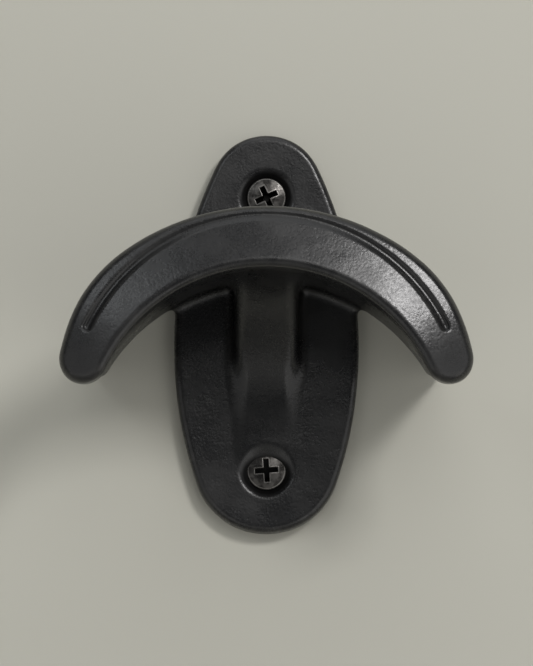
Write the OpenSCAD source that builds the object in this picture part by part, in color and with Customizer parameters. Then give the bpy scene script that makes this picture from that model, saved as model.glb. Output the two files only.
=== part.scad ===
// Wall-mounted bridle rack: a one-piece casting with an oval wall plate, an arched saddle
// that carries the headpiece, a leaning front lip and a broad rib, held by two wood screws.
// The origin is the centre of the plate's back face. +Z is up and the saddle reaches to -Y.

/* [Wall plate] */
// Width of the oval plate
plate_w = 39.8; // [37:0.1:46]
// Height of the oval plate
plate_h = 86; // [80:1:100]
// Radius of the plate's long sides, which run on into its round ends
plate_side_r = 90; // [84:1:100]
// Drop of the plate's widest line below its middle, which makes its lower end the fuller one
plate_wide_drop = 3; // [0:0.5:5]
// Thickness of the plate
plate_t = 5; // [4.5:0.1:7]
// Rounding along the plate's front edge
plate_round = 1.3; // [0.8:0.1:2.2]

/* [Saddle] */
// Height of the lip's crown above the middle of the plate
crown_z = 22.3; // [18:0.1:24]
// Radius of the lip's outer arc
lip_r = 46; // [43:0.5:50]
// Radius of the arch under the lip
soffit_r = 37.7; // [35:0.1:40]
// Thickness of the front face at its crown
crown_t = 13.5; // [12:0.1:15]
// Angle from the crown to the middle of each horn's round end
horn_angle = 71; // [62:1:78]
// Distance from the wall to the front face's inner edge at the crown, before its edge is rolled
reach = 56; // [48:1:66]
// Height of the arch under the wings above the arch under the lip
wing_rise = 2.1; // [1.9:0.1:3]
// Angle from the crown to the middle of each wing's round end
wing_angle = 65; // [60:1:68]
// Distance from the wall to the back edge of the saddle's wings
wing_gap = 3; // [2:0.1:4]
// Rounding of the wings' back edges
wing_round = 1.5; // [0.5:0.1:1.5]
// Half the width of the flat strip left at the back of the wings' round ends
wing_land = 0.6; // [0.4:0.1:1.2]
// Radius of the cast blend between the saddle and the plate
cove_r = 3; // [1:0.1:4]

/* [Lip] */
// Height of the lip above the surface that the headpiece lies on
lip_h = 3.8; // [2.5:0.1:4.5]
// Thickness of the lip from front to back, at the arch
lip_t = 9.2; // [8.5:0.1:12]
// Angle at which the front face leans back towards the lip's outer edge
lip_lean = 16; // [8:0.5:18]
// Radius of the rolled edge round the front face
face_roll = 2.2; // [1.2:0.1:2.6]
// Rounding of the lip's edges at the back
lip_back_r = 1.6; // [1:0.1:1.8]
// Radius of the cutter that makes the groove along the front face
groove_r = 1.1; // [0.6:0.05:1.4]
// Distance from the outer edge to the groove at the crown
groove_in_crown = 2.7; // [2:0.1:3.2]
// Distance from the outer edge to the groove at its ends
groove_in_end = 3.6; // [2.8:0.1:4]
// Height of the groove cutter's centre in front of the face, at the crown
groove_rise = 0.6; // [0.4:0.05:0.8]
// Angle from the crown to each end of the groove
groove_angle = 62; // [45:1:64]

/* [Rib] */
// Width of the rib's crest
rib_w = 13.4; // [9:0.1:16]
// Rounding along the edges of the crest
rib_round = 3; // [1:0.1:4]
// Draft on each side of the rib, from crest to root
rib_draft = 1; // [0.2:0.1:2]
// Height of the rib's foot below the middle of the plate
rib_foot = 23; // [15:0.5:23]

/* [Screws] */
// Distance from each end of the plate to its screw centre
screw_inset = 13.5; // [12:0.5:16]
// Largest diameter of each countersink
sink_d = 11.4; // [9.6:0.1:12]
// Diameter of the clearance hole through the plate
hole_d = 4.8; // [4.6:0.1:5.4]
// Diameter of the countersunk head
head_d = 8.4; // [7.4:0.1:9]
// Thickness of the head's straight rim
head_rim = 0.4; // [0.2:0.1:0.6]
// Diameter over the thread
thread_d = 4.2; // [3.5:0.1:4.4]
// Diameter of the plain neck under the head
neck_d = 3.2; // [2.8:0.1:3.4]
// Length of the screw from the top of its head to its point
screw_l = 30; // [24:1:50]
// Distance behind the wall's face at which the thread begins
thread_start = 1; // [0.5:0.1:3]
// Length of the pointed end
point_l = 4.5; // [3:0.1:6]
// Width across the cross recess
recess_d = 4.6; // [3.6:0.1:5.2]
// Width of each slot of the cross recess
recess_slot = 1; // [0.7:0.05:1.4]
// Depth of the cross recess
recess_depth = 2; // [1.2:0.1:2.4]
// Turn of the upper screw's recess
upper_turn = 24; // [0:1:89]
// Turn of the lower screw's recess
lower_turn = 4; // [0:1:89]
// Clearance between the head's cone and its countersink
seat_gap = 0.1; // [0.05:0.05:0.2]

/* [Hidden] */
$fn = 96;

// Length by which a cut runs past what it cuts, and a joined form into its neighbour
overrun = 1;
// Size of the waste block outside a rounding, as a share of the rounding
waste_share = 2;
// How much fuller each round end is, all round, than the form that it finishes
plate_end_swell = 0.1;
lip_end_swell = 0.1;
wing_end_swell = 0.05;
groove_end_swell = 0.06;
// How much wider the rounded back of a lip's end is than its leaning disc
lip_back_swell = 0.03;
// How far the roll at the arch's mouth stands proud of the face and of the arch, which it meets at an angle
roll_rise = 0.15;
roll_inset = 0.2;

// Heights of the arc centres of the lip and of the arch
lip_cz = crown_z - lip_r;
soffit_z = crown_z - crown_t;
soffit_cz = soffit_z - soffit_r;
centre_shift = lip_cz - soffit_cz;
wing_soffit_r = soffit_r + wing_rise;
wing_soffit_z = soffit_z + wing_rise;

// Surface that the headpiece lies on
bearing_r = lip_r - lip_h;
bearing_z = lip_cz + bearing_r;
core_r = lip_r - crown_t - overrun;

// Radius of the hollow at the lip's foot, as a share of the flat height behind the lip
root_share = 0.75;
lip_root_r = root_share * (lip_h - lip_back_r);

// Depths measured from the wall
lip_back = reach - lip_t;
wing_front = lip_back + lip_back_r + overrun;

// Depth of the leaning face, at a distance from the lip's axis
lean_share = tan(lip_lean);
face_ring = lip_r - crown_t;
function face_depth(ring) = reach - lean_share * (ring - face_ring);
// Tilt of the arch's front edge, which lies on the face
mouth_tilt = atan(lean_share * centre_shift / soffit_r);

// A crescent is given as its outer radius, its arch's radius and the angle to the middle of its ends.
// Distance from the outer arc's axis to a round end that touches both arcs, and the end's radius and centre
LIP = [lip_r, soffit_r, horn_angle];
WINGS = [bearing_r, wing_soffit_r, wing_angle];
function end_ring(crescent) =
    let (both = crescent[0] + crescent[1])
    (both * both - centre_shift * centre_shift) / (2 * (both + centre_shift * cos(crescent[2])));
function end_radius(crescent) = crescent[0] - end_ring(crescent);
function end_centre(crescent) =
    [end_ring(crescent) * sin(crescent[2]), lip_cz + end_ring(crescent) * cos(crescent[2])];

// Heights of the plate's two halves, above and below its widest line
plate_rise = plate_h / 2 + plate_wide_drop;
plate_fall = plate_h / 2 - plate_wide_drop;
plate_side_x = plate_side_r - plate_w / 2;
// Radius of the round end of a half, and the height at which the sides run into it
function plate_end_r(half_h) =
    (half_h * half_h + plate_w * plate_w / 4 - plate_side_r * plate_w) / (2 * (half_h - plate_side_r));
function plate_join(half_h) =
    (half_h - plate_end_r(half_h)) * plate_side_r / (plate_side_r - plate_end_r(half_h));

// Groove arc through its crown and its two ends
groove_crown_z = crown_z - groove_in_crown;
groove_end_r = lip_r - groove_in_end;
groove_end = [groove_end_r * sin(groove_angle), lip_cz + groove_end_r * cos(groove_angle)];
groove_cz = (groove_end.x * groove_end.x + groove_end.y * groove_end.y - groove_crown_z * groove_crown_z)
    / (2 * (groove_end.y - groove_crown_z));
groove_arc_r = groove_crown_z - groove_cz;
groove_half_angle = atan2(groove_end.x, groove_end.y - groove_cz);
groove_depth = face_depth(lip_r - groove_in_crown) + groove_rise;

// Quarter arc of the rib's crest, from the plate to the arch, sunk a little into both
rib_sink = 0.3;
rib_arc_r = wing_soffit_z + rib_foot + rib_sink;

// Screw places: the head's cone lies on the countersink's, both at 45 degrees
screw_pitch = plate_h - 2 * screw_inset;
head_drop = (sink_d - head_d) / 2 - seat_gap * sqrt(2) - head_rim;
head_cone = (head_d - neck_d) / 2;
// Width of the recess at its floor, as a share of its width at the top
recess_floor_share = 0.3;

// Turns a form that is drawn in front view, with its height as depth, to face the front
module from_wall(centre = [0, 0]) {
    translate([centre.x, 0, centre.y])
        rotate([90, 0, 0])
            children();
}

// Profile from the axis or a core out to outer, with rounded corners on its outer side.
// low and high are its depths, and each rounding is given as its run inwards and its depth
module turned_profile(core, outer, low, high, low_round, high_round) {
    difference() {
        translate([core, low])
            square([outer - core, high - low]);
        corner_cut([outer, low], low_round, -1);
        corner_cut([outer, high], high_round, 1);
    }
}

// Waste outside a rounded corner, on the outer side at the top (1) or the bottom (-1)
module corner_cut(corner, rounding, end) {
    if (rounding.x > 0)
        translate(corner - [rounding.x, end * rounding.y])
            scale([rounding.x, end * rounding.y])
                difference() {
                    square(waste_share);
                    circle(r = 1);
                }
}

// Disc of the plate's thickness with a rounded front edge
module plate_disc(radius) {
    rotate_extrude()
        turned_profile(0, radius, 0, plate_t, [0, 0], plate_round * [1, 1]);
}

// Round end of one half of the plate, at its height above the widest line
module plate_end(half_h) {
    end_r = plate_end_r(half_h) + plate_end_swell;
    from_wall([0, half_h - end_r])
        plate_disc(end_r);
}

// Oval plate with a rounded front edge, fuller below than above
module plate_body() {
    translate([0, 0, -plate_wide_drop]) {
        intersection() {
            from_wall([plate_side_x, 0])
                plate_disc(plate_side_r);
            from_wall([-plate_side_x, 0])
                plate_disc(plate_side_r);
            translate([-plate_w, -plate_t - overrun, -plate_join(plate_fall)])
                cube([2 * plate_w, plate_t + 2 * overrun, plate_join(plate_fall) + plate_join(plate_rise)]);
        }
        plate_end(plate_rise);
        mirror([0, 0, 1])
            plate_end(plate_fall);
    }
}

// Keeps what lies above the two rays that end the arch at the horns
module horn_wedge(crescent) {
    tip = end_centre(crescent);
    ray = [sin(crescent[2]), cos(crescent[2])] * (crescent[0] + overrun);
    side = [ray.x, lip_cz + ray.y];
    top = crown_z + crescent[0];
    from_wall()
        linear_extrude(height = reach + overrun)
            polygon([
                [0, soffit_cz], tip, side, [side.x, top], [-side.x, top],
                [-side.x, side.y], [-tip.x, tip.y]]);
}

// A crescent of the saddle: a turned band over the arch, less its mouth. The band's profile is drawn
// about the outer arc's axis and the arch's about its own
module arched_band(crescent) {
    difference() {
        intersection() {
            from_wall([0, lip_cz])
                rotate_extrude()
                    children(0);
            horn_wedge(crescent);
        }
        from_wall([0, soffit_cz])
            rotate_extrude()
                children(1);
    }
}

// Both round ends of a crescent, from the right-hand one
module horn_ends(crescent) {
    for (side = [0, 1])
        mirror([side, 0, 0])
            from_wall(end_centre(crescent))
                children();
}

// Opening under the arch
module arch_profile(arch_r, back, front) {
    translate([0, back - overrun])
        square([arch_r, front - back + 2 * overrun]);
}

// The part of the arch's mouth outside its cylinder, at the front (1) or the back (-1)
module arch_mouth(arch_r, depth, rounding, end) {
    translate([arch_r + rounding.x, depth - end * rounding.y])
        scale([-rounding.x, end * rounding.y])
            difference() {
                square(waste_share);
                circle(r = 1);
            }
}

// Wings that the headpiece lies on, from behind the plate's face into the lip
module saddle_wings() {
    edge = min(wing_round, end_radius(WINGS) - wing_land) * [1, 1];
    end_r = end_radius(WINGS) + wing_end_swell;
    arched_band(WINGS) {
        turned_profile(core_r, bearing_r, wing_gap, wing_front, edge, [0, 0]);
        union() {
            arch_profile(wing_soffit_r, wing_gap, wing_front);
            arch_mouth(wing_soffit_r, wing_gap, edge, -1);
        }
    }
    horn_ends(WINGS)
        rotate_extrude()
            turned_profile(0, end_r, wing_gap - wing_end_swell, wing_front + wing_end_swell, edge, [0, 0]);
}

// Lets a profile's height fall by the face's lean with its distance from the axis
module leaning() {
    multmatrix([[1, 0, 0, 0], [-lean_share, 1, 0, 0]])
        children();
}

// Band of the lip, whose front leans back and rolls over into the outer edge
module lip_profile() {
    edge_depth = face_depth(lip_r);
    difference() {
        polygon([
            [core_r, lip_back], [lip_r, lip_back], [lip_r, edge_depth], [core_r, face_depth(core_r)]]);
        corner_cut([lip_r, lip_back], lip_back_r * [1, 1], -1);
        translate([lip_r, edge_depth])
            leaning()
                corner_cut([0, 0], face_roll * [1, 1], 1);
    }
}

// Round end of the lip: a disc whose front leans as the face does and whose back is square to the wall
module lip_end() {
    end_r = end_radius(LIP) + lip_end_swell;
    back_end_r = end_r + lip_back_swell;
    front = face_depth(end_ring(LIP)) + lip_end_swell;
    back = lip_back - lip_end_swell;
    intersection() {
        multmatrix([
            [1, 0, 0, 0], [0, 1, 0, 0],
            [-lean_share * sin(horn_angle), -lean_share * cos(horn_angle), 1, 0]])
            rotate_extrude()
                turned_profile(0, end_r, lip_back - lip_t, front, [0, 0], face_roll * [1, 1]);
        rotate_extrude()
            turned_profile(0, back_end_r, back, reach + overrun, lip_back_r * [1, 1], [0, 0]);
    }
}

// Waste outside the rolled edge at the front of the arch, tilted to follow the face
module lip_mouth() {
    from_wall([0, soffit_z])
        translate([0, 0, reach])
            rotate([mouth_tilt, 0, 0])
                translate([0, -soffit_r, 0])
                    rotate_extrude()
                        translate([soffit_r - roll_inset, roll_rise])
                            leaning()
                                translate([-soffit_r, 0])
                                    arch_mouth(soffit_r, 0, face_roll * [1, 1], 1);
}

// Rounded front lip that keeps the headpiece on the saddle
module saddle_lip() {
    difference() {
        arched_band(LIP) {
            lip_profile();
            union() {
                arch_profile(soffit_r, lip_back, reach);
                arch_mouth(soffit_r, lip_back, lip_back_r * [1, 1], -1);
            }
        }
        lip_mouth();
    }
    horn_ends(LIP)
        lip_end();
}

// Hollow corner blend, drawn at the inner corner of a wall that rises along +Y and a floor along +X
module hollow_corner(radius) {
    difference() {
        translate([-overrun, -overrun])
            square(radius + overrun);
        translate([radius, radius])
            circle(r = radius);
    }
}

// Hollow blend at the foot of the lip
module lip_root() {
    from_wall([0, lip_cz])
        rotate_extrude(angle = 2 * wing_angle, start = 90 - wing_angle)
            translate([bearing_r, lip_back])
                mirror([0, 1])
                    hollow_corner(lip_root_r);
}

// Hollow cast blends between the saddle and the plate, above and below
module plate_coves() {
    intersection() {
        union() {
            from_wall([0, lip_cz])
                rotate_extrude(angle = 2 * wing_angle, start = 90 - wing_angle)
                    translate([bearing_r, plate_t])
                        hollow_corner(cove_r);
            from_wall([0, soffit_cz])
                rotate_extrude(angle = 2 * wing_angle, start = 90 - wing_angle)
                    translate([wing_soffit_r, plate_t])
                        mirror([1, 0])
                            hollow_corner(cove_r);
        }
        from_wall([plate_side_x, -plate_wide_drop])
            cylinder(r = plate_side_r - plate_round, h = reach);
        from_wall([-plate_side_x, -plate_wide_drop])
            cylinder(r = plate_side_r - plate_round, h = reach);
    }
}

// Broad rib that sweeps from the plate out to the arch, with a flat crest and rounded edges
module rib() {
    half = rib_w / 2;
    root_half = half + rib_draft;
    root_r = 2 * rib_arc_r;
    top = (wing_soffit_z + bearing_z) / 2;
    intersection() {
        translate([0, -plate_t - rib_arc_r + rib_sink, -rib_foot])
            rotate([0, 90, 0])
                rotate_extrude(angle = 90, start = 90) {
                    for (side = [-1, 1])
                        translate([rib_arc_r + rib_round, side * (half - rib_round)])
                            circle(r = rib_round);
                    polygon([
                        [rib_arc_r, rib_round - half], [rib_arc_r, half - rib_round],
                        [rib_arc_r + rib_round, half], [root_r, root_half],
                        [root_r, -root_half], [rib_arc_r + rib_round, -half]]);
                }
        translate([-rib_w, -reach, -plate_h])
            cube([2 * rib_w, reach - plate_t + overrun, plate_h + top]);
    }
}

// Groove along the outer part of the front face, with round ends
module face_groove() {
    from_wall([0, groove_cz]) {
        rotate_extrude(angle = 2 * groove_half_angle, start = 90 - groove_half_angle)
            translate([groove_arc_r, groove_depth])
                circle(r = groove_r);
        for (side = [-1, 1])
            rotate(90 + side * groove_half_angle)
                translate([groove_arc_r, 0, groove_depth])
                    sphere(r = groove_r + groove_end_swell);
    }
}

// Countersunk hole through the plate
module screw_hole() {
    sink_depth = (sink_d - hole_d) / 2;
    from_wall()
        rotate_extrude()
            polygon([
                [0, -overrun], [hole_d / 2, -overrun], [hole_d / 2, plate_t - sink_depth],
                [sink_d / 2, plate_t], [sink_d / 2, plate_t + overrun], [0, plate_t + overrun]]);
}

// The casting: plate, rib, saddle and lip in one piece
module bracket_casting() {
    color("#2b2c2e")
        difference() {
            union() {
                plate_body();
                saddle_wings();
                saddle_lip();
                lip_root();
                plate_coves();
                rib();
            }
            face_groove();
            for (side = [-1, 1])
                translate([0, 0, side * screw_pitch / 2])
                    screw_hole();
        }
}

// Countersunk wood screw in its hole, with a cross recess
module wood_screw(turn) {
    top = plate_t - head_drop;
    neck_top = top - head_rim - head_cone;
    tip = top - screw_l;
    from_wall()
        difference() {
            rotate_extrude()
                polygon([
                    [0, top], [head_d / 2, top], [head_d / 2, top - head_rim], [neck_d / 2, neck_top],
                    [neck_d / 2, -thread_start], [thread_d / 2, -thread_start - (thread_d - neck_d) / 2],
                    [thread_d / 2, tip + point_l], [0, tip]]);
            intersection() {
                rotate(turn)
                    for (quarter = [0, 90])
                        rotate(quarter)
                            translate([-recess_d, -recess_slot / 2, top - recess_depth])
                                cube([2 * recess_d, recess_slot, recess_depth + overrun]);
                rotate_extrude()
                    polygon([
                        [0, top - recess_depth], [recess_d / 2 * recess_floor_share, top - recess_depth],
                        [recess_d / 2, top], [recess_d / 2, top + overrun], [0, top + overrun]]);
            }
        }
}

module upper_screw() {
    color("#4a4742")
        translate([0, 0, screw_pitch / 2])
            wood_screw(upper_turn);
}

module lower_screw() {
    color("#4a4742")
        translate([0, 0, -screw_pitch / 2])
            wood_screw(lower_turn);
}

bracket_casting();
upper_screw();
lower_screw();
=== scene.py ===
"""Looks of a cast bridle rack: the coated casting, its two screws and the studio round them."""

import logging
import math
from dataclasses import dataclass, field
from enum import Enum
from typing import Protocol

import bpy
import numpy as np
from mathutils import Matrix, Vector


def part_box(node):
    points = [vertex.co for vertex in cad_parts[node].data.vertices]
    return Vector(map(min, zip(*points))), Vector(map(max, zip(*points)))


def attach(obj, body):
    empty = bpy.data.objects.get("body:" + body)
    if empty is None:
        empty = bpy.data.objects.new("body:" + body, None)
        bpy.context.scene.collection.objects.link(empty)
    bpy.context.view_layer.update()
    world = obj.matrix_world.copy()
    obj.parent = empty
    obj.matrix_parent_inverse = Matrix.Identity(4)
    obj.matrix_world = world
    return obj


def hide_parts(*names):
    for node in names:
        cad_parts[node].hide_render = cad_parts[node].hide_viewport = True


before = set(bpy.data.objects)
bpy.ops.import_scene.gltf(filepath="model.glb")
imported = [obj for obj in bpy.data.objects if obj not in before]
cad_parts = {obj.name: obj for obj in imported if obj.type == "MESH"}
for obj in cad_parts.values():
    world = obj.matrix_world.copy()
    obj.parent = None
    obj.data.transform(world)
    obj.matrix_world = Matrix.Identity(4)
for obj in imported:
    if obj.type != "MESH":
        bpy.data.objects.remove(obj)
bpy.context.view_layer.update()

log = logging.getLogger("bridle_rack")

MM = 0.001
TINY = 1e-9
RIGHT_ANGLE = math.pi / 2.0
BODY = "root"

Socket = bpy.types.NodeSocket
Colour = tuple[float, float, float, float]
Triple = tuple[float, float, float]


class Piece(Enum):
    """The separate pieces of the rack, by their node in the frame."""

    CASTING = "bracket_casting"
    UPPER_SCREW = "upper_screw"
    LOWER_SCREW = "lower_screw"


class Slot(Enum):
    """The record's material slots."""

    CASTING = "black_casting"
    SCREW = "dark_screw"


class SolidForm(Protocol):
    """A solid that can say how far any point lies from its surface, and which of its pockets the
    finish paints with shade.
    """

    def distance(self, points: np.ndarray) -> np.ndarray:
        """Signed distance of each point in millimetres, below zero inside."""

    def pocket_shade(self, points: np.ndarray) -> np.ndarray:
        """How deep each point lies in a pocket that the finish paints with shade, from 0 to 1."""


def smooth_min(a: np.ndarray, b: np.ndarray, width: np.ndarray | float) -> np.ndarray:
    """Joins two solids with a soft blend in the corner between them.

    Args:
        a: Signed distances to the first solid.
        b: Signed distances to the second solid.
        width: How far from the corner the blend reaches, one value or one a point.

    Returns:
        Signed distances to the joined solid.
    """
    overlap = np.maximum(width - np.abs(a - b), 0.0)
    return np.minimum(a, b) - overlap * overlap / np.maximum(4.0 * width, TINY)


def smooth_max(a: np.ndarray, b: np.ndarray, width: float) -> np.ndarray:
    """Keeps what two solids share, with the edge between them softened over width."""
    return -smooth_min(-a, -b, width)


def round_corner(side: np.ndarray, top: np.ndarray, radius: float) -> np.ndarray:
    """Keeps what lies below two faces, with a round edge of that radius where they meet."""
    over = np.hypot(np.maximum(side + radius, 0.0), np.maximum(top + radius, 0.0))
    return np.minimum(np.maximum(side, top), -radius) + over


def oval_corner(side: np.ndarray, top: np.ndarray, run: np.ndarray | float,
                drop: float) -> np.ndarray:
    """Keeps what lies below two faces, with an edge rolled along a quarter ellipse.

    Args:
        side: Signed distances to the side face.
        top: Signed distances to the top face.
        run: Width of the roll, measured in from the side face, one value or one a point.
        drop: Depth of the roll, measured down from the top face.

    Returns:
        Signed distances to the rolled edge and to both faces away from it.
    """
    u = np.maximum(side + run, 0.0)
    v = np.maximum(top + drop, 0.0)
    ring = np.hypot(u / run, v / drop)
    slope = np.hypot(u / run**2, v / drop**2)
    rolled = ring * (ring - 1.0) / np.maximum(slope, TINY)
    return np.where((u > 0.0) & (v > 0.0), rolled, np.maximum(side, top))


@dataclass
class Skin:
    """A closed mesh in millimetres, with each point's normal, curvature and pocket depth for
    painted shade.
    """

    points: np.ndarray
    quads: np.ndarray
    normals: np.ndarray
    curvature: np.ndarray
    pocket_shade: np.ndarray


@dataclass
class SkinMesher:
    """Lays a net of quads over a solid form, and settles every knot of it on the surface."""

    spacing: float
    block: int = 8
    margin: int = 3
    chunk: int = 200_000
    settle_passes: int = 4
    relax_passes: int = 3
    probe: float = 0.01
    block_slack: float = 1.25
    least_slope: float = 0.05
    curvature_probe: float = 0.45

    def sample(self, form: SolidForm, low: np.ndarray, counts: np.ndarray) -> np.ndarray:
        """Measures the form on a grid, finely only in the blocks that its surface may cross.

        Args:
            form: The solid to measure.
            low: The grid's lowest corner.
            counts: How many grid points there are along each axis.

        Returns:
            Signed distances at the grid points.
        """
        blocks = -(-counts // self.block)
        edge = self.block * self.spacing
        centres = low + (np.indices(blocks).reshape(3, -1).T + 0.5) * edge
        coarse = form.distance(centres).reshape(blocks)
        reach = self.block_slack * edge * math.sqrt(3.0) / 2.0

        def spread(array: np.ndarray) -> np.ndarray:
            """Repeats each block's value over the block's grid points."""
            for axis in range(3):
                array = array.repeat(self.block, axis)
            return array[: counts[0], : counts[1], : counts[2]]

        values = spread(np.sign(coarse) * reach)
        near = np.argwhere(spread(np.abs(coarse) < reach))
        for part in np.array_split(near, len(near) // self.chunk + 1):
            values[tuple(part.T)] = form.distance(low + part * self.spacing)
        return values

    def knots(self, values: np.ndarray, cells: np.ndarray) -> np.ndarray:
        """Mean place of the surface's crossings on each cell's twelve edges, in grid steps."""
        total = np.zeros((len(cells), 3))
        count = np.zeros(len(cells))
        for axis, step in enumerate(np.eye(3, dtype=int)):
            others = np.delete(np.eye(3, dtype=int), axis, axis=0)
            for i in (0, 1):
                for j in (0, 1):
                    start = cells + i * others[0] + j * others[1]
                    a = values[tuple(start.T)]
                    b = values[tuple((start + step).T)]
                    crossed = (a < 0.0) != (b < 0.0)
                    share = np.where(crossed, a / np.where(crossed, a - b, 1.0), 0.0)
                    total += np.where(crossed[:, None], start + share[:, None] * step, 0.0)
                    count += crossed
        return total / count[:, None]

    @staticmethod
    def net(inside: np.ndarray, ids: np.ndarray) -> np.ndarray:
        """One quad round each grid edge that the surface crosses, wound to face outwards."""
        quads = []
        for axis in range(3):
            u, v = np.eye(3, dtype=int)[(axis + 1) % 3], np.eye(3, dtype=int)[(axis + 2) % 3]
            first = np.take(inside, range(inside.shape[axis] - 1), axis)
            second = np.take(inside, range(1, inside.shape[axis]), axis)
            edges = np.argwhere(first != second)
            ring = [ids[tuple((edges + move).T)] for move in (-u - v, -v, 0 * u, -u)]
            quad = np.stack(ring, axis=1)
            leaving = first[tuple(edges.T)]
            quads.append(np.where(leaving[:, None], quad, quad[:, ::-1]))
        return np.vstack(quads)

    def gradient(self, form: SolidForm, points: np.ndarray) -> np.ndarray:
        """Direction in which the distance grows fastest at each point."""
        steps = np.eye(3) * self.probe
        sides = [form.distance(points + s) - form.distance(points - s) for s in steps]
        return np.stack(sides, axis=1) / (2.0 * self.probe)

    def settle(self, form: SolidForm, points: np.ndarray) -> np.ndarray:
        """Moves points along the gradient until they lie on the form's surface."""
        for _ in range(self.settle_passes):
            slope = self.gradient(form, points)
            size = np.maximum(np.sum(slope * slope, axis=1), self.least_slope)
            step = np.clip(form.distance(points) / size, -self.spacing, self.spacing)
            points = points - step[:, None] * slope
        return points

    @staticmethod
    def relax(points: np.ndarray, quads: np.ndarray) -> np.ndarray:
        """Moves each knot half way to the mean of its neighbours, which evens the net."""
        total = np.zeros_like(points)
        count = np.zeros(len(points))
        for shift in (1, -1):
            beside = np.roll(quads, shift, axis=1).ravel()
            here = quads.ravel()
            count += np.bincount(here, minlength=len(points))
            for axis in range(3):
                total[:, axis] += np.bincount(here, points[beside, axis], len(points))
        return 0.5 * (points + total / count[:, None])

    def curvature(self, form: SolidForm, points: np.ndarray) -> np.ndarray:
        """How strongly the surface bulges at each point, below zero in a hollow."""
        e = self.curvature_probe
        ways = (*np.eye(3), *-np.eye(3))
        around = sum(form.distance(points + way * e) for way in ways)
        return (around - len(ways) * form.distance(points)) / e**2

    def cover(self, form: SolidForm, low: np.ndarray, high: np.ndarray) -> Skin:
        """Builds the skin of a form.

        Args:
            form: The solid to cover.
            low: Lowest corner of the box that holds it, in millimetres.
            high: Highest corner of that box.

        Returns:
            The settled skin.
        """
        start = low - self.margin * self.spacing
        counts = np.ceil((high - low) / self.spacing).astype(int) + 2 * self.margin + 1
        values = self.sample(form, start, counts)
        inside = values < 0.0
        corners = [inside[i:, j:, k:][: counts[0] - 1, : counts[1] - 1, : counts[2] - 1]
                   for i in (0, 1) for j in (0, 1) for k in (0, 1)]
        filled = np.sum(corners, axis=0, dtype=np.int8)
        active = (filled > 0) & (filled < len(corners))
        cells = np.argwhere(active)
        ids = np.full(active.shape, -1, np.int64)
        ids[active] = np.arange(len(cells))
        points = start + self.spacing * self.knots(values, cells)
        quads = self.net(inside, ids)
        points = self.settle(form, points)
        for _ in range(self.relax_passes):
            points = self.settle(form, self.relax(points, quads))
        slope = self.gradient(form, points)
        normals = slope / np.maximum(np.linalg.norm(slope, axis=1), TINY)[:, None]
        return Skin(points, quads, normals, self.curvature(form, points), form.pocket_shade(points))


@dataclass(frozen=True)
class Ramp:
    """A smooth step from one range of values to another."""

    low: float
    high: float
    to_low: float = 0.0
    to_high: float = 1.0


@dataclass(frozen=True)
class Speckle:
    """Noise in a finish: how many millimetres its lumps are across, about, and its detail."""

    size_mm: float
    detail: float


@dataclass(frozen=True)
class Relief:
    """Bumps of a finish: their depth in millimetres and how strongly they show."""

    depth_mm: float
    strength: float


class Graph:
    """A material's or a world's nodes, added and joined in few words."""

    def __init__(self, tree: bpy.types.NodeTree) -> None:
        """Starts with an empty tree."""
        tree.nodes.clear()
        self.tree = tree

    def add(self, kind: str, values: dict | None = None, **settings: object) -> bpy.types.Node:
        """Adds a node.

        Args:
            kind: The node's type name.
            values: What each input holds: a socket to join, or a constant.
            settings: The node's own settings.

        Returns:
            The new node.
        """
        node = self.tree.nodes.new(kind)
        for name, value in settings.items():
            setattr(node, name, value)
        for name, value in (values or {}).items():
            self.feed(node.inputs[name], value)
        return node

    def feed(self, socket: Socket, value: object) -> None:
        """Joins another socket to an input, or sets the input to a constant."""
        if isinstance(value, Socket):
            self.tree.links.new(value, socket)
        else:
            socket.default_value = value

    def place(self) -> Socket:
        """Place on the object."""
        return self.add("ShaderNodeTexCoord").outputs["Object"]

    def attribute(self, name: str) -> Socket:
        """What the mesh says at each point under that name."""
        return self.add("ShaderNodeAttribute", attribute_name=name).outputs["Fac"]

    def noise(self, place: Socket, speckle: Speckle) -> Socket:
        """Noise at each place."""
        scale = 1.0 / (speckle.size_mm * MM)
        values = {"Vector": place, "Scale": scale, "Detail": speckle.detail}
        return self.add("ShaderNodeTexNoise", values).outputs["Fac"]

    def spread(self, value: Socket, ramp: Ramp) -> Socket:
        """Maps a value from one range to another, smoothly and without leaving it."""
        values = {"Value": value, "From Min": ramp.low, "From Max": ramp.high,
                  "To Min": ramp.to_low, "To Max": ramp.to_high}
        node = self.add("ShaderNodeMapRange", values, interpolation_type="SMOOTHSTEP")
        return node.outputs["Result"]

    def times(self, a: Socket, b: Socket | float) -> Socket:
        """Product of two values."""
        return self.add("ShaderNodeMath", {0: a, 1: b}, operation="MULTIPLY").outputs[0]

    def plus(self, a: Socket, b: Socket) -> Socket:
        """Sum of two values."""
        return self.add("ShaderNodeMath", {0: a, 1: b}, operation="ADD").outputs[0]

    def mean(self, a: Socket, b: Socket, share: float) -> Socket:
        """Mean of two values, with that share of the first."""
        return self.plus(self.times(a, share), self.times(b, 1.0 - share))

    def tint(self, share: Socket, a: Socket | Colour, b: Colour) -> Socket:
        """Mix of two colours by the share of the second."""
        node = self.add("ShaderNodeMix", {"Factor": share}, data_type="RGBA")
        for name, value in (("A_Color", a), ("B_Color", b)):
            self.feed(next(s for s in node.inputs if s.identifier == name), value)
        return next(s for s in node.outputs if s.identifier == "Result_Color")

    def bump(self, height: Socket, relief: Relief, under: Socket | None = None) -> Socket:
        """Normal of a bumpy surface, on top of another one if given."""
        values = {"Height": height, "Distance": relief.depth_mm * MM, "Strength": relief.strength}
        if under is not None:
            values["Normal"] = under
        return self.add("ShaderNodeBump", values).outputs["Normal"]

    def finish(self, shader: Socket, output: str = "ShaderNodeOutputMaterial") -> None:
        """Joins the last shader to the output."""
        self.add(output, {"Surface": shader})


def new_material(name: str) -> tuple[bpy.types.Material, Graph]:
    """A material with an empty node tree.

    Args:
        name: The material's name.

    Returns:
        The material and its graph.
    """
    material = bpy.data.materials.new(name)
    material.use_nodes = True
    return material, Graph(material.node_tree)


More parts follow.
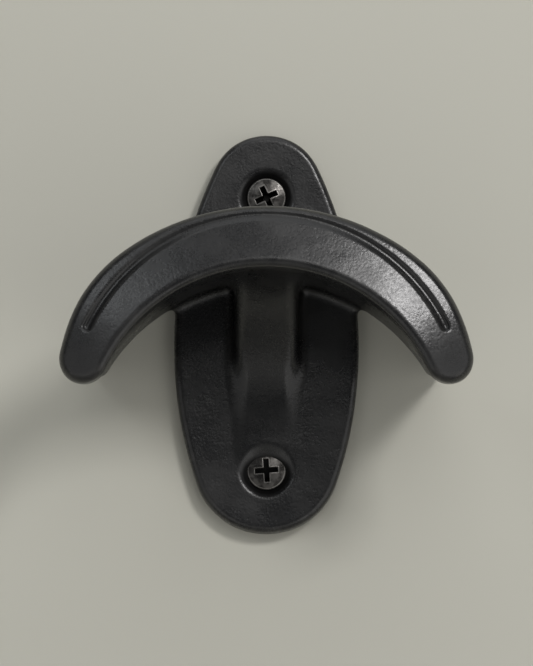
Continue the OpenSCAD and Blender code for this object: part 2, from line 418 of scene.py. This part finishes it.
@dataclass(frozen=True)
class BlackCoat:
    """Satin black stoved coat over iron: fine pebbled grain, rubbed edges, painted shade in the
    hollows and in the countersinks.
    """

    coat: Colour = (0.0072, 0.0072, 0.0077, 1.0)
    faded: Colour = (0.0125, 0.0123, 0.0125, 1.0)
    rubbed: Colour = (0.020, 0.0195, 0.019, 1.0)
    # Painted shade: darker colour for hollows and creases.
    hollow_shade_colour: Colour = (0.0045, 0.0043, 0.0040, 1.0)
    # Painted shade: near-black colour for the countersinks.
    pocket_shade_colour: Colour = (0.0030, 0.0029, 0.0028, 1.0)
    grain: Speckle = Speckle(0.55, 3.0)
    peel: Speckle = Speckle(2.4, 2.0)
    patch: Speckle = Speckle(11.0, 4.0)
    grain_relief: Relief = Relief(0.05, 0.8)
    peel_relief: Relief = Relief(0.10, 0.5)
    fading: Ramp = Ramp(0.42, 0.66)
    hollow_shading: Ramp = Ramp(-0.16, -0.55, 0.0, 0.7)
    hollow_shade_grain: Ramp = Ramp(0.35, 0.6, 0.4, 1.0)
    edges: Ramp = Ramp(0.26, 0.85)
    edge_peel: Ramp = Ramp(0.45, 0.62, 0.15, 1.0)
    gloss: Ramp = Ramp(0.35, 0.68, 0.24, 0.36)
    gloss_patch_share: float = 0.6
    dull_rough: float = 0.7
    sheen: Ramp = Ramp(0.0, 1.0, 0.5, 0.1)
    ior: float = 1.5

    def material(self) -> bpy.types.Material:
        """Builds the coat's material."""
        material, g = new_material("black_coat")
        place, bulge, pocket_shade = g.place(), g.attribute("bulge"), g.attribute("pocket_shade")
        grain = g.noise(place, self.grain)
        peel = g.noise(place, self.peel)
        patch = g.noise(place, self.patch)
        colour = g.tint(g.spread(patch, self.fading), self.coat, self.faded)
        # Painted shade: hollows and creases are darkened, with a grainy edge to the darkening.
        hollow_shade = g.times(g.spread(bulge, self.hollow_shading), g.spread(grain, self.hollow_shade_grain))
        colour = g.tint(hollow_shade, colour, self.hollow_shade_colour)
        edge = g.times(g.spread(bulge, self.edges), g.spread(peel, self.edge_peel))
        colour = g.tint(edge, colour, self.rubbed)
        # Painted shade: the countersinks are darkened to near black, and made rougher and less
        # shiny.
        colour = g.tint(pocket_shade, colour, self.pocket_shade_colour)
        gloss = g.spread(g.mean(patch, grain, self.gloss_patch_share), self.gloss)
        gloss = g.plus(gloss, g.times(pocket_shade, self.dull_rough - self.gloss.to_high))
        normal = g.bump(grain, self.grain_relief, g.bump(peel, self.peel_relief))
        shader = g.add("ShaderNodeBsdfPrincipled", {
            "Base Color": colour, "Roughness": gloss, "Normal": normal, "IOR": self.ior,
            "Specular IOR Level": g.spread(pocket_shade, self.sheen)})
        g.finish(shader.outputs[0])
        return material


@dataclass(frozen=True)
class DarkScrewSteel:
    """Blackened steel of the screws: brown-black oxide, bare where driver and hands rubbed it,
    painted shade in the recess, under the head and in the hollows.
    """

    oxide: Colour = (0.030, 0.0285, 0.027, 1.0)
    bare: Colour = (0.19, 0.182, 0.172, 1.0)
    # Painted shade: near-black colour for the recess, under the head and the hollows.
    shade_colour: Colour = (0.004, 0.0038, 0.0035, 1.0)
    grain: Speckle = Speckle(0.35, 3.0)
    patch: Speckle = Speckle(1.8, 3.0)
    grain_relief: Relief = Relief(0.02, 0.5)
    edges: Ramp = Ramp(0.1, 1.6, 0.0, 0.8)
    bare_patches: Ramp = Ramp(0.44, 0.64, 0.05, 0.45)
    hollow_shading: Ramp = Ramp(-0.3, -1.6, 0.0, 0.9)
    gloss: Ramp = Ramp(0.35, 0.65, 0.24, 0.46)
    gloss_patch_share: float = 0.5
    metal: Ramp = Ramp(0.0, 1.0, 1.0, 0.0)
    sheen: Ramp = Ramp(0.0, 1.0, 0.5, 0.1)

    def material(self) -> bpy.types.Material:
        """Builds the steel's material."""
        material, g = new_material("dark_steel")
        place, bulge, pocket_shade = g.place(), g.attribute("bulge"), g.attribute("pocket_shade")
        grain = g.noise(place, self.grain)
        patch = g.noise(place, self.patch)
        rubbing = g.plus(g.spread(bulge, self.edges), g.spread(patch, self.bare_patches))
        colour = g.tint(rubbing, self.oxide, self.bare)
        # Painted shade: hollows such as the recess corners and thread roots are darkened.
        colour = g.tint(g.spread(bulge, self.hollow_shading), colour, self.shade_colour)
        # Painted shade: the recess and the part under the head's rim are darkened and lose their
        # metal shine.
        colour = g.tint(pocket_shade, colour, self.shade_colour)
        gloss = g.spread(g.mean(patch, grain, self.gloss_patch_share), self.gloss)
        normal = g.bump(grain, self.grain_relief)
        shader = g.add("ShaderNodeBsdfPrincipled", {
            "Base Color": colour, "Roughness": gloss, "Normal": normal,
            "Metallic": g.spread(pocket_shade, self.metal),
            "Specular IOR Level": g.spread(pocket_shade, self.sheen)})
        g.finish(shader.outputs[0])
        return material


@dataclass(frozen=True)
class PalePaint:
    """Pale matt paint of the studio's wall and floor, which shows from its front side only."""

    name: str
    colour: Colour
    rough: float = 0.7

    def material(self) -> bpy.types.Material:
        """Builds the paint's material."""
        material, g = new_material(self.name)
        values = {"Base Color": self.colour, "Roughness": self.rough}
        paint = g.add("ShaderNodeBsdfPrincipled", values).outputs[0]
        clear = g.add("ShaderNodeBsdfTransparent").outputs[0]
        behind = g.add("ShaderNodeNewGeometry").outputs["Backfacing"]
        g.finish(g.add("ShaderNodeMixShader", {0: behind, 1: paint, 2: clear}).outputs[0])
        return material


def skin_object(name: str, skin: Skin, material: bpy.types.Material) -> bpy.types.Object:
    """Makes a Blender object of a skin.

    Args:
        name: The piece's name.
        skin: Its mesh in millimetres.
        material: Its finish.

    Returns:
        The object, linked to the scene.
    """
    mesh = bpy.data.meshes.new(name)
    mesh.from_pydata((skin.points * MM).tolist(), [], skin.quads.tolist())
    mesh.shade_smooth()
    mesh.normals_split_custom_set_from_vertices(skin.normals.tolist())
    for label, values in (("bulge", skin.curvature), ("pocket_shade", skin.pocket_shade)):
        attribute = mesh.attributes.new(label, "FLOAT", "POINT")
        attribute.data.foreach_set("value", values.astype(np.float32))
    mesh.materials.append(material)
    piece = bpy.data.objects.new(name, mesh)
    bpy.context.scene.collection.objects.link(piece)
    return piece


def place_piece(piece: bpy.types.Object, node: Piece) -> None:
    """Lets a piece stand for its node and ride with the rack."""
    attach(piece, BODY)
    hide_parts(node.value)
    mesh = piece.data
    log.info("%s: %d points, %d faces", piece.name, len(mesh.vertices), len(mesh.polygons))


def box_mm(node: Piece) -> tuple[np.ndarray, np.ndarray]:
    """Lowest and highest corner of a node in the frame, in millimetres."""
    low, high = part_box(node.value)
    return np.array(low) / MM, np.array(high) / MM


@dataclass(frozen=True)
class Crescent:
    """A crescent in front view: two arcs and the round ends that touch both. Millimetres."""

    outer_r: float
    outer_z: float
    inner_r: float
    inner_z: float
    angle: float

    def end_circle(self) -> tuple[np.ndarray, float]:
        """Centre and radius of the round end on the right."""
        angle = math.radians(self.angle)
        shift = self.outer_z - self.inner_z
        both = self.outer_r + self.inner_r
        ring = (both**2 - shift**2) / (2.0 * (both + shift * math.cos(angle)))
        centre = np.array([ring * math.sin(angle), self.outer_z + ring * math.cos(angle)])
        return centre, self.outer_r - ring

    def distance(self, x: np.ndarray, z: np.ndarray) -> np.ndarray:
        """Distance in front view from the crescent.

        Args:
            x: Distance from the middle of the rack.
            z: Height.

        Returns:
            Signed distances, below zero inside.
        """
        tip, end_r = self.end_circle()
        outside = np.hypot(x, z - self.outer_z) - self.outer_r
        under = self.inner_r - np.hypot(x, z - self.inner_z)
        across, up = x - tip[0], z - tip[1]
        angle = math.radians(self.angle)
        below_ray = math.sin(angle) * up - math.cos(angle) * across < 0.0
        inner = np.array([0.0, self.inner_z]) - tip
        past_arch = inner[0] * up - inner[1] * across > 0.0
        end = np.hypot(across, up) - end_r
        return np.where(below_ray & past_arch, end, np.maximum(outside, under))


@dataclass(frozen=True)
class PlateOval:
    """The plate's outline: two long sides and round ends, the lower one fuller. Millimetres."""

    width: float
    height: float
    side_r: float
    wide_drop: float

    def end_circle(self, half_h: float) -> tuple[float, float]:
        """Height of a round end's centre above the widest line, and the end's radius.

        Args:
            half_h: Height of the half that the end closes.

        Returns:
            The height and the radius.
        """
        half_w = self.width / 2.0
        corner = half_h**2 + half_w**2 - self.side_r * self.width
        radius = corner / (2.0 * (half_h - self.side_r))
        return half_h - radius, radius

    def distance(self, x: np.ndarray, z: np.ndarray) -> np.ndarray:
        """Distance in front view from the outline, below zero inside."""
        up = z + self.wide_drop
        across = x + self.side_r - self.width / 2.0
        rim = np.hypot(across, up) - self.side_r
        for way in (1.0, -1.0):
            place, radius = self.end_circle(self.height / 2.0 + way * self.wide_drop)
            past_side = (self.side_r - self.width / 2.0) * way * up > place * across
            rim = np.where(past_side, np.hypot(x, up - way * place) - radius, rim)
        return rim


@dataclass(frozen=True)
class SandWaves:
    """The slight unevenness of a sand-cast surface: two crossed swells. Millimetres."""

    height: float = 0.035
    length: float = 17.0
    bend: float = 1.3
    bend_pitch: float = 0.7
    cross_pitch: float = 1.1
    cross_shift: float = 0.4
    second_share: float = 0.6
    second_pitch: float = 1.7
    second_slant: float = 0.9
    second_cross_pitch: float = 1.9
    second_cross_slant: float = 0.5

    def offset(self, points: np.ndarray) -> np.ndarray:
        """How far the surface lies in or out at each point."""
        x, y, z = (points * (2.0 * math.pi / self.length)).T
        bent = np.sin(x + self.bend * np.sin(self.bend_pitch * z))
        wave = bent * np.sin(self.cross_pitch * z + self.cross_shift)
        slanted = np.sin(self.second_pitch * y + self.second_slant * x)
        crossed = np.sin(self.second_cross_pitch * z - self.second_cross_slant * y)
        wave += self.second_share * slanted * crossed
        return self.height * wave / (1.0 + self.second_share)


@dataclass
class BracketCasting:
    """The casting: oval plate, arched saddle, beaded lip and rib, softly blended. Millimetres."""

    plate_w: float = 39.8
    plate_side_r: float = 90.0
    plate_wide_drop: float = 3.0
    plate_t: float = 5.0
    plate_round: float = 1.5
    plate_back_round: float = 0.3
    crown_z: float = 22.3
    lip_r: float = 46.0
    soffit_r: float = 37.7
    crown_t: float = 13.5
    horn_angle: float = 71.0
    reach: float = 56.0
    wing_rise: float = 2.1
    wing_angle: float = 65.0
    wing_gap: float = 3.0
    wing_round: float = 1.5
    cove_blend: float = 2.4
    lip_h: float = 3.8
    lip_t: float = 9.2
    lip_lean: float = 16.0
    horn_fall: float = 0.006
    fall_angle: float = 55.0
    lip_back_r: float = 1.6
    lip_root_blend: float = 2.0
    roll_run: float = 2.3
    roll_drop: float = 2.1
    bead_w: float = 5.0
    bead_blend: float = 3.0
    bead_roll: float = 1.7
    bead_swell: float = 1.6
    swell_lead: float = 25.0
    swell_span: float = 101.0
    swell_skew: float = 2.3
    groove_r: float = 0.9
    groove_in_crown: float = 2.3
    groove_in_end: float = 3.2
    groove_angle: float = 62.0
    groove_sink_crown: float = -0.5
    groove_sink_end: float = -0.1
    groove_lip: float = 0.5
    rib_w: float = 13.4
    rib_round: float = 3.0
    rib_crown: float = 0.010
    rib_foot: float = 23.0
    rib_sink: float = 0.3
    rib_fall: float = 0.03
    rib_draft_share: float = 0.03
    rib_blend: float = 2.6
    sink_d: float = 11.4
    hole_d: float = 4.8
    sink_lip: float = 0.5
    sink_shade: float = 0.5
    skin_inset: float = 0.05
    spacing: float = 0.42
    waves: SandWaves = field(default_factory=SandWaves)
    finish: BlackCoat = field(default_factory=BlackCoat)

    def __post_init__(self) -> None:
        """Takes the overall sizes from the frame and works out the arcs."""
        low, high = box_mm(Piece.CASTING)
        self.plate_h = high[2] - low[2]
        upper, lower = box_mm(Piece.UPPER_SCREW), box_mm(Piece.LOWER_SCREW)
        self.screw_z = [float(np.mean([a[2], b[2]])) for a, b in (upper, lower)]
        self.lip_cz = self.crown_z - self.lip_r
        soffit_z = self.crown_z - self.crown_t
        soffit_cz = soffit_z - self.soffit_r
        self.wing_soffit_z = soffit_z + self.wing_rise
        self.lip_back = self.reach - self.lip_t
        self.outline = PlateOval(
            self.plate_w, self.plate_h, self.plate_side_r, self.plate_wide_drop)
        self.lip = Crescent(self.lip_r, self.lip_cz, self.soffit_r, soffit_cz, self.horn_angle)
        self.wings = Crescent(self.lip_r - self.lip_h, self.lip_cz,
                              self.soffit_r + self.wing_rise, soffit_cz, self.wing_angle)

    def plate(self, x: np.ndarray, depth: np.ndarray, z: np.ndarray) -> np.ndarray:
        """Distance from the oval plate."""
        front = round_corner(self.outline.distance(x, z), depth - self.plate_t, self.plate_round)
        return round_corner(front, -depth, self.plate_back_round)

    def saddle(self, x: np.ndarray, depth: np.ndarray, z: np.ndarray) -> np.ndarray:
        """Distance from the wings and the leaning lip."""
        wing = round_corner(self.wings.distance(x, z), self.wing_gap - depth, self.wing_round)
        wing = np.maximum(wing, depth - (self.lip_back + self.lip_back_r))
        lean = math.tan(math.radians(self.lip_lean))
        inner_r = self.lip_r - self.crown_t
        ring = np.hypot(x, z - self.lip_cz)
        around = np.arctan2(x, z - self.lip_cz)
        along = ring * np.maximum(around - math.radians(self.fall_angle), 0.0)
        front = self.reach - lean * np.maximum(ring - inner_r, 0.0) - self.horn_fall * along**2
        face = (depth - front) * math.cos(math.radians(self.lip_lean))
        bead = np.clip((ring - self.lip_r + self.bead_w) / self.bead_blend + 0.5, 0.0, 1.0)
        side = self.lip.distance(x, z) - bead * self.swell(around)
        run = self.roll_run + bead * (self.bead_roll - self.roll_run)
        lip = oval_corner(side, face, run, self.roll_drop)
        lip = round_corner(lip, self.lip_back - depth, self.lip_back_r)
        lip = smooth_max(lip, -self.groove(x, depth, z, front), self.groove_lip)
        return smooth_min(wing, lip, self.lip_root_blend)

    def swell(self, around: np.ndarray) -> np.ndarray:
        """How far the bead stands out past the lip's arc, by the angle from the crown."""
        share = np.clip((np.degrees(around) + self.swell_lead) / self.swell_span, 0.0, 1.0)
        return self.bead_swell * np.sin(math.pi * share**self.swell_skew) ** 2

    def groove(self, x: np.ndarray, depth: np.ndarray, z: np.ndarray,
               front: np.ndarray) -> np.ndarray:
        """Distance from the cutter of the groove between the bead and the face."""
        angle = math.radians(self.groove_angle)
        end_r = self.lip_r - self.groove_in_end
        end = np.array([end_r * math.sin(angle), self.lip_cz + end_r * math.cos(angle)])
        crown = self.crown_z - self.groove_in_crown
        centre = (end @ end - crown**2) / (2.0 * (end[1] - crown))
        half = math.atan2(end[0], end[1] - centre)
        around = np.arctan2(x, z - centre)
        along = np.abs(np.hypot(x, z - centre) - (crown - centre))
        past = np.hypot(x - end[0], z - end[1])
        off = np.where(around > half, past, along)
        share = np.clip(around / half, 0.0, 1.0) ** 2
        sink = self.groove_sink_crown + share * (self.groove_sink_end - self.groove_sink_crown)
        return np.hypot(off, depth - front + sink) - self.groove_r

    def rib(self, x: np.ndarray, depth: np.ndarray, z: np.ndarray) -> np.ndarray:
        """Distance from the broad, flat-crested rib that sweeps from the plate to the arch."""
        arc_r = self.wing_soffit_z + self.rib_foot + self.rib_sink
        centre_depth = self.plate_t + arc_r - self.rib_sink
        ring = np.hypot(np.maximum(centre_depth - depth, 0.0), np.maximum(z + self.rib_foot, 0.0))
        below_foot = np.maximum(-self.rib_foot - z, 0.0)
        past_arc = np.maximum(depth - centre_depth, 0.0)
        fall = self.rib_fall * (below_foot**2 + past_arc**2)
        over = arc_r - ring + self.rib_crown * x**2 + fall
        side = x - self.rib_w / 2.0 - self.rib_draft_share * np.maximum(-over, 0.0)
        bar = round_corner(side, over, self.rib_round)
        top = z - (self.wing_soffit_z + self.crown_z - self.lip_h) / 2.0
        upright = np.maximum(top, -self.plate_h / 2.0 - z)
        outward = np.maximum(self.plate_t / 2.0 - depth, depth - self.lip_back)
        return np.maximum(bar, np.maximum(upright, outward))

    def screw_holes(self, x: np.ndarray, depth: np.ndarray, z: np.ndarray) -> np.ndarray:
        """Distance from the two countersunk holes."""
        holes = []
        for place in self.screw_z:
            radius = np.hypot(x, z - place)
            bore = radius - self.hole_d / 2.0
            cone = (radius - self.sink_d / 2.0 + self.plate_t - depth) / math.sqrt(2.0)
            holes.append(np.minimum(bore, cone))
        return np.minimum(*holes)

    def distance(self, points: np.ndarray) -> np.ndarray:
        """Signed distance of each point from the casting's surface, below zero inside."""
        x, depth, z = np.abs(points[:, 0]), -points[:, 1], points[:, 2]
        solid = smooth_max(self.plate(x, depth, z), -self.screw_holes(x, depth, z), self.sink_lip)
        solid = smooth_min(solid, self.saddle(x, depth, z), self.cove_blend)
        solid = smooth_min(solid, self.rib(x, depth, z), self.rib_blend)
        return solid + self.skin_inset + self.waves.offset(points)

    def pocket_shade(self, points: np.ndarray) -> np.ndarray:
        """How deep each point lies in a countersink, where the coat gets painted shade."""
        x, depth, z = np.abs(points[:, 0]), -points[:, 1], points[:, 2]
        on_wall = np.clip(1.0 - self.screw_holes(x, depth, z) / self.sink_lip, 0.0, 1.0)
        sunk = self.plate_t - self.sink_lip / 2.0 - depth
        return on_wall * np.clip(sunk / self.sink_shade, 0.0, 1.0)

    def build(self) -> bpy.types.Object:
        """Covers the casting with its skin and puts it in its node's place.

        Returns:
            The casting's object.
        """
        low, high = box_mm(Piece.CASTING)
        skin = SkinMesher(self.spacing).cover(self, low, high)
        piece = skin_object("casting_skin", skin, self.finish.material())
        place_piece(piece, Piece.CASTING)
        return piece


@dataclass
class WoodScrew:
    """A raised countersunk wood screw with a cross recess and a cut thread. Millimetres."""

    piece: Piece
    turn: float
    head_d: float = 8.4
    head_rim: float = 0.4
    dome_h: float = 0.75
    neck_d: float = 3.2
    core_d: float = 2.9
    thread_d: float = 4.2
    thread_pitch: float = 1.75
    thread_flank: float = 0.62
    thread_start: float = 1.0
    thread_fade: float = 2.2
    thread_ease: float = 0.7
    point_l: float = 4.5
    recess_d: float = 4.9
    recess_slot: float = 1.05
    recess_slot_taper: float = 0.25
    recess_depth: float = 2.0
    recess_floor_share: float = 0.3
    recess_lip: float = 0.16
    head_lip: float = 0.3
    pocket_shade_depth: float = 0.5
    spacing: float = 0.14

    def __post_init__(self) -> None:
        """Takes the screw's place and length from the frame."""
        low, high = box_mm(self.piece)
        self.centre = (low + high) / 2.0
        self.top = low[1]
        self.tip = high[1]

    def shank(self, radius: np.ndarray, y: np.ndarray, around: np.ndarray) -> np.ndarray:
        """Distance from the neck, the threaded length and the point."""
        turns = y / self.thread_pitch - around / (2.0 * math.pi)
        off = np.abs(turns - np.round(turns)) * self.thread_pitch
        ridge = np.maximum(1.0 - off / self.thread_flank, 0.0)
        fade = np.clip((y - self.thread_start) / self.thread_fade, 0.0, 1.0)
        height = (self.thread_d - self.core_d) / 2.0 * ridge * fade
        core = np.where(y < self.thread_start, self.neck_d, self.core_d) / 2.0
        taper = np.clip((self.tip - y) / self.point_l, 0.0, 1.0)
        side = radius - (core + height) * np.sqrt(taper)
        return np.maximum(side * self.thread_ease, y - self.tip)

    def head(self, radius: np.ndarray, y: np.ndarray) -> np.ndarray:
        """Distance from the countersunk head with its raised top."""
        rim_r = self.head_d / 2.0
        cone = (radius - rim_r + y - (self.top + self.head_rim)) / math.sqrt(2.0)
        return np.maximum(smooth_max(radius - rim_r, self.dome(radius, y), self.head_lip), cone)

    def dome(self, radius: np.ndarray, y: np.ndarray) -> np.ndarray:
        """Distance from the ball whose cap is the raised top."""
        rim_r = self.head_d / 2.0
        ball_r = (rim_r**2 + self.dome_h**2) / (2.0 * self.dome_h)
        return np.hypot(radius, y - (self.top - self.dome_h + ball_r)) - ball_r

    def recess(self, across: np.ndarray, up: np.ndarray, y: np.ndarray) -> np.ndarray:
        """Distance from the cross recess."""
        depth = np.clip((y - self.top) / self.recess_depth, 0.0, 1.0)
        reach = self.recess_d / 2.0 * (1.0 - depth * (1.0 - self.recess_floor_share))
        half = self.recess_slot / 2.0 * (1.0 - self.recess_slot_taper * depth)
        one = np.maximum(np.abs(up) - half, np.abs(across) - reach)
        other = np.maximum(np.abs(across) - half, np.abs(up) - reach)
        return np.maximum(np.minimum(one, other), y - self.top - self.recess_depth)

    def distance(self, points: np.ndarray) -> np.ndarray:
        """Signed distance of each point from the screw's surface, below zero inside."""
        x, y, z = points[:, 0] - self.centre[0], points[:, 1], points[:, 2] - self.centre[2]
        radius = np.hypot(x, z)
        below_rim = self.top + self.head_rim - y
        shank = np.maximum(self.shank(radius, y, np.arctan2(z, x)), below_rim)
        solid = np.minimum(self.head(radius, y), shank)
        angle = math.radians(self.turn)
        across = math.cos(angle) * x + math.sin(angle) * z
        up = math.cos(angle) * z - math.sin(angle) * x
        return smooth_max(solid, -self.recess(across, up, y), self.recess_lip)

    def pocket_shade(self, points: np.ndarray) -> np.ndarray:
        """How deep each point lies in the recess or under the head's rim, where the steel gets
        painted shade.
        """
        radius = np.hypot(points[:, 0] - self.centre[0], points[:, 2] - self.centre[2])
        sunk = np.where(radius < self.recess_d / 2.0, -self.dome(radius, points[:, 1]), 0.0)
        under_rim = np.where(points[:, 1] < 0.0, points[:, 1] - self.top, 0.0)
        return np.clip(np.maximum(sunk, under_rim) / self.pocket_shade_depth, 0.0, 1.0)

    def build(self, steel: bpy.types.Material) -> bpy.types.Object:
        """Covers the screw with its skin and puts it in its node's place.

        Args:
            steel: The screws' finish.

        Returns:
            The screw's object.
        """
        low, high = box_mm(self.piece)
        low[1] -= self.dome_h
        skin = SkinMesher(self.spacing, curvature_probe=self.spacing).cover(self, low, high)
        piece = skin_object(f"{self.piece.value}_turned", skin, steel)
        place_piece(piece, self.piece)
        return piece


@dataclass
class ScrewPair:
    """Both screws in one finish, each with its recess turned as it was driven. Degrees."""

    upper_turn: float = 24.0
    lower_turn: float = 4.0
    finish: DarkScrewSteel = field(default_factory=DarkScrewSteel)

    def build(self) -> None:
        """Builds the upper screw, then the lower one."""
        steel = self.finish.material()
        WoodScrew(Piece.UPPER_SCREW, self.upper_turn).build(steel)
        WoodScrew(Piece.LOWER_SCREW, self.lower_turn).build(steel)


@dataclass(frozen=True)
class Lamp:
    """A square soft lamp that points at the rack. Metres, watts, degrees to the right and up."""

    name: str
    azimuth: float
    elevation: float
    away: float
    size: float
    power: float
    colour: Triple = (1.0, 0.99, 0.97)

    def build(self) -> None:
        """Adds the lamp."""
        data = bpy.data.lights.new(self.name, "AREA")
        data.size, data.energy, data.color = self.size, self.power, self.colour
        lamp = bpy.data.objects.new(self.name, data)
        a, e = math.radians(self.azimuth), math.radians(self.elevation)
        toward = Vector((math.sin(a) * math.cos(e), -math.cos(a) * math.cos(e), math.sin(e)))
        lamp.location = toward * self.away
        lamp.rotation_euler = (-toward).to_track_quat("-Z", "Y").to_euler()
        bpy.context.scene.collection.objects.link(lamp)
        log.info("%s lamp of %.1f W", self.name, self.power)


@dataclass
class Studio:
    """Pale wall and floor, soft lamps and the camera. Metres."""

    wall_colour: Colour = (0.51, 0.502, 0.44, 1.0)
    floor_colour: Colour = (0.47, 0.465, 0.44, 1.0)
    stage_size: float = 4.0
    wall_y: float = -0.0002
    floor_z: float = -0.9
    sky: Colour = (0.95, 0.98, 1.0, 1.0)
    sky_strength: float = 0.12
    lamps: tuple[Lamp, ...] = (
        Lamp("key", azimuth=27.3, elevation=25.8, away=1.1, size=0.2, power=4.7,
             colour=(1.0, 0.985, 0.98)),
        Lamp("fill", azimuth=-31.0, elevation=26.0, away=1.1, size=0.35, power=1.0,
             colour=(0.95, 0.98, 1.0)),
        Lamp("overhead", azimuth=0.0, elevation=66.0, away=1.3, size=1.1, power=3.8,
             colour=(0.98, 0.99, 1.0)),
        Lamp("front", azimuth=10.0, elevation=22.0, away=1.2, size=0.5, power=1.5),
        Lamp("low_left", azimuth=-48.0, elevation=-20.0, away=1.2, size=1.2, power=2.0),
        Lamp("low_right", azimuth=50.0, elevation=-20.0, away=1.2, size=1.2, power=3.7),
        Lamp("floor_bounce", azimuth=0.0, elevation=-55.0, away=1.1, size=1.6, power=2.0),
        Lamp("back_fill", azimuth=155.0, elevation=35.0, away=1.3, size=0.8, power=5.0),
    )
    frame_px: tuple[int, int] = (533, 666)
    focal_px: float = 2523.0
    mm_per_px: float = 1.07
    zoom: float = 5.0
    camera_drop: float = 0.289
    camera_x: float = 0.002
    aim: Triple = (0.0, 0.0, 0.0006)

    def plane(self, name: str, place: Triple, tilt: float, paint: PalePaint) -> None:
        """Adds a stage plane.

        Args:
            name: Its name.
            place: Its centre.
            tilt: Its turn about the X axis, from lying flat.
            paint: Its finish.
        """
        bpy.ops.mesh.primitive_plane_add(
            size=self.stage_size, location=place, rotation=(tilt, 0.0, 0.0))
        plane = bpy.context.object
        plane.name = name
        plane.data.materials.append(paint.material())
        log.info("%s at %s", name, place)

    def light(self) -> None:
        """Adds the lamps and the even sky."""
        for lamp in self.lamps:
            lamp.build()
        world = bpy.data.worlds.new("even_sky")
        bpy.context.scene.world = world
        world.use_nodes = True
        graph = Graph(world.node_tree)
        sky = graph.add("ShaderNodeBackground", {"Color": self.sky, "Strength": self.sky_strength})
        graph.finish(sky.outputs[0], "ShaderNodeOutputWorld")

    def camera(self) -> None:
        """Adds the camera where the photograph's camera stood, with a lens that fills the frame."""
        data = bpy.data.cameras.new("camera")
        camera = bpy.data.objects.new("camera", data)
        away = self.focal_px * self.mm_per_px * MM
        camera.location = (self.camera_x, -away, -self.camera_drop)
        view = Vector(self.aim) - camera.location
        camera.rotation_euler = view.to_track_quat("-Z", "Y").to_euler()
        data.lens = data.sensor_width * self.focal_px * self.zoom / max(self.frame_px)
        data.clip_end = self.stage_size + away
        bpy.context.scene.collection.objects.link(camera)
        bpy.context.scene.camera = camera
        log.info("camera with a %.0f mm lens", data.lens)

    def build(self) -> None:
        """Builds the whole studio."""
        wall_paint = PalePaint("pale_wall", self.wall_colour)
        floor_paint = PalePaint("pale_floor", self.floor_colour)
        self.plane("wall", (0.0, self.wall_y, 0.0), RIGHT_ANGLE, wall_paint)
        self.plane("floor", (0.0, 0.0, self.floor_z), 0.0, floor_paint)
        self.light()
        self.camera()
        bpy.context.scene.view_settings.view_transform = "Standard"


def main() -> None:
    """Builds the studio, the casting and its screws, in that order."""
    logging.basicConfig(level=logging.INFO, format="%(name)s: %(message)s")
    Studio().build()
    BracketCasting().build()
    ScrewPair().build()


if __name__ == "__main__":
    main()
